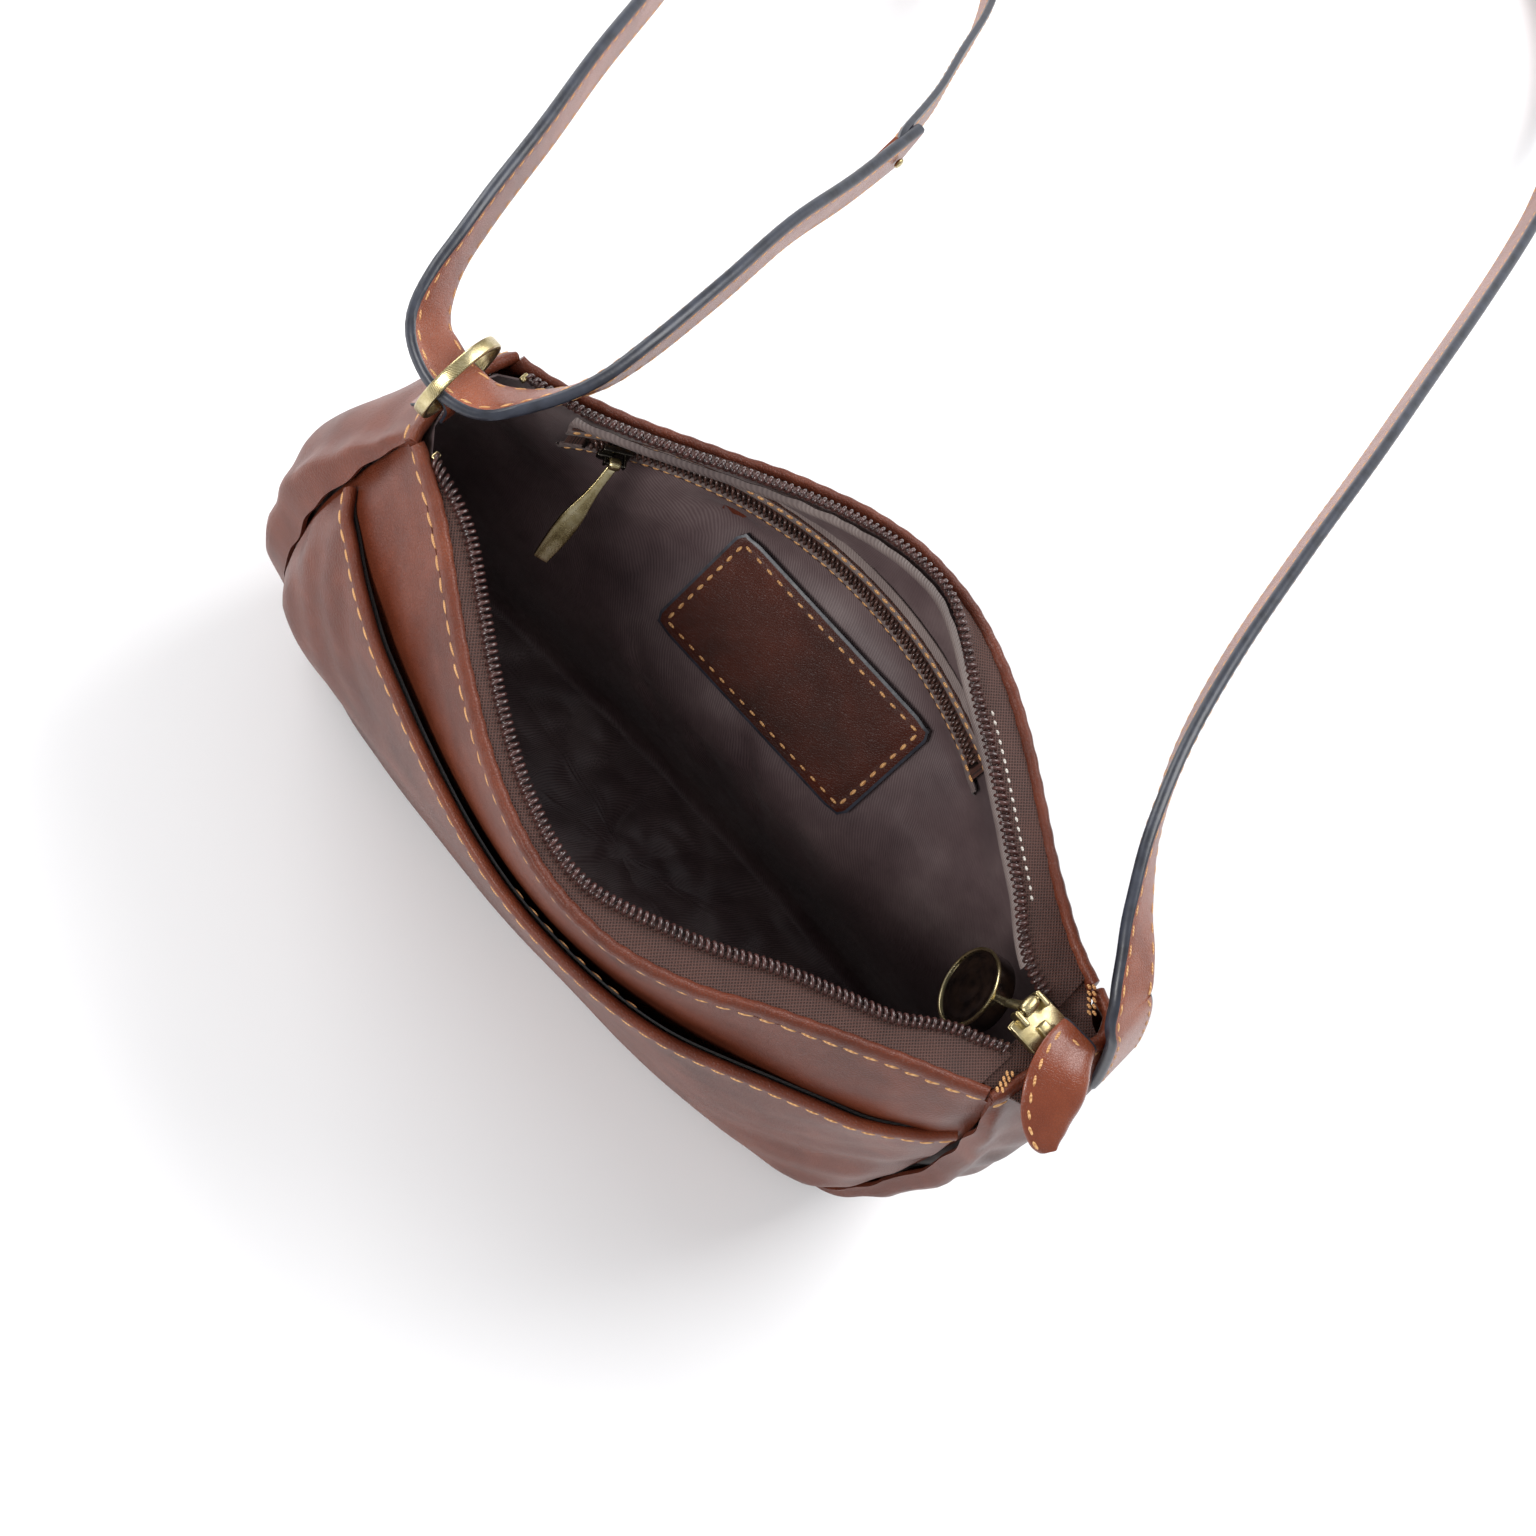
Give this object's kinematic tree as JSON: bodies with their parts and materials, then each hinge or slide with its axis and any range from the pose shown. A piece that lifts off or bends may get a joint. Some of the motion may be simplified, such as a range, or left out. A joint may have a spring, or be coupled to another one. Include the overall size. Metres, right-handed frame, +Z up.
{
  "type": "crossbody purse",
  "caption": "Zip-top crossbody purse with an open mouth, lined inside, front slip pocket, inner zip pocket and a long flat strap through a ring.",
  "frame": {"origin": "middle of the base on the surface that the bag stands on", "axes": "+X towards the end where the zip slider rests, -Y is the front with the slip pocket, +Z up"},
  "size_m": [0.3479, 0.5756, 0.181],
  "materials": {
    "body_leather": "smooth semi-gloss leather, light grain",
    "edge_leather": "turned edge of the same leather, slightly burnished",
    "tab_leather": "glossy tan-brown leather",
    "label_leather": "dark brown leather, satin",
    "strap_leather": "strap leather, dark painted edges, tan stitching",
    "lining_cloth": "satin twill lining",
    "pocket_cloth": "black pocket lining",
    "stiffener_board": "fibre board, hidden",
    "zip_tape": "woven zip tape",
    "zip_coil": "nylon coil",
    "gunmetal": "dark plated zinc",
    "enamel": "dark brown glossy enamel",
    "antique_brass": "antique brass plating, brushed"
  },
  "bodies": {
    "bag": {"front_panel": "body_leather", "back_panel": "body_leather", "gusset_left": "body_leather", "gusset_right": "body_leather", "base_panel": "body_leather", "base_board": "stiffener_board", "pocket_panel": "body_leather", "pocket_edge": "edge_leather", "pocket_lining": "pocket_cloth", "rim_front": "edge_leather", "rim_back": "edge_leather", "rim_left": "edge_leather", "rim_right": "edge_leather", "lining_front": "lining_cloth", "lining_back": "lining_cloth", "lining_left": "lining_cloth", "lining_right": "lining_cloth", "lining_base": "lining_cloth", "zip_tape_front": "zip_tape", "zip_tape_back": "zip_tape", "zip_coil_front": "zip_coil", "zip_coil_back": "zip_coil", "zip_stops": "antique_brass", "zip_end_tab": "tab_leather", "inner_zip_tape": "zip_tape", "inner_zip_chain": "zip_coil", "inner_zip_stops": "gunmetal", "inner_pocket": "lining_cloth", "label_patch": "label_leather", "ring_tab": "tab_leather", "strap_anchor": "strap_leather"},
    "slider": {"main_slider": "antique_brass"},
    "pull": {"pull_link": "antique_brass", "medallion_rim": "antique_brass", "medallion_face": "enamel"},
    "inner_slider": {"inner_slider": "gunmetal"},
    "inner_pull": {"inner_pull": "antique_brass"},
    "ring": {"strap_ring": "antique_brass"},
    "strap": {"strap_long": "strap_leather", "strap_loop": "strap_leather", "strap_tail": "strap_leather", "splice_rivet": "antique_brass", "buckle_frame": "antique_brass"},
    "prong": {"buckle_prong": "antique_brass"},
    "keeper": {"strap_keeper": "strap_leather"}
  },
  "joints": [
    {"name": "main_slider_slide", "type": "slide", "parent": "bag", "child": "slider", "axis": [-1, 0, 0], "range_m": [0, 0.004]},
    {"name": "main_pull_hinge", "type": "hinge", "parent": "slider", "child": "pull", "pos_m": [0.1015, -0.0035, 0.1535], "axis": [0, 1, 0], "range_deg": [-10, 120]},
    {"name": "inner_slider_slide", "type": "hinge", "parent": "bag", "child": "inner_slider", "pos_m": [-0.0033, -0.0683, 0.129], "axis": [0, 0, -1], "range_deg": [0, 59]},
    {"name": "inner_pull_hinge", "type": "hinge", "parent": "inner_slider", "child": "inner_pull", "pos_m": [-0.07597, 0.02606, 0.129], "axis": [-0.7923, -0.6101, 0], "range_deg": [-4, 80]},
    {"name": "ring_swing", "type": "hinge", "parent": "bag", "child": "ring", "pos_m": [-0.114, -0.008, 0.1549], "axis": [0, 1, 0], "range_deg": [-14, 14]},
    {"name": "strap_swing", "type": "hinge", "parent": "bag", "child": "strap", "pos_m": [-0.114, -0.008, 0.1675], "axis": [0.9953, 0.0917, -0.032], "range_deg": [0, 78]},
    {"name": "prong_hinge", "type": "hinge", "parent": "strap", "child": "prong", "pos_m": [-0.1823, 0.39694, 0.0136], "axis": [0, 0, 1], "range_deg": [0, 60]},
    {"name": "keeper_slide", "type": "slide", "parent": "strap", "child": "keeper", "axis": [0.2756, 0.9613, 0], "range_m": [-0.006, 0.006]}
  ]
}
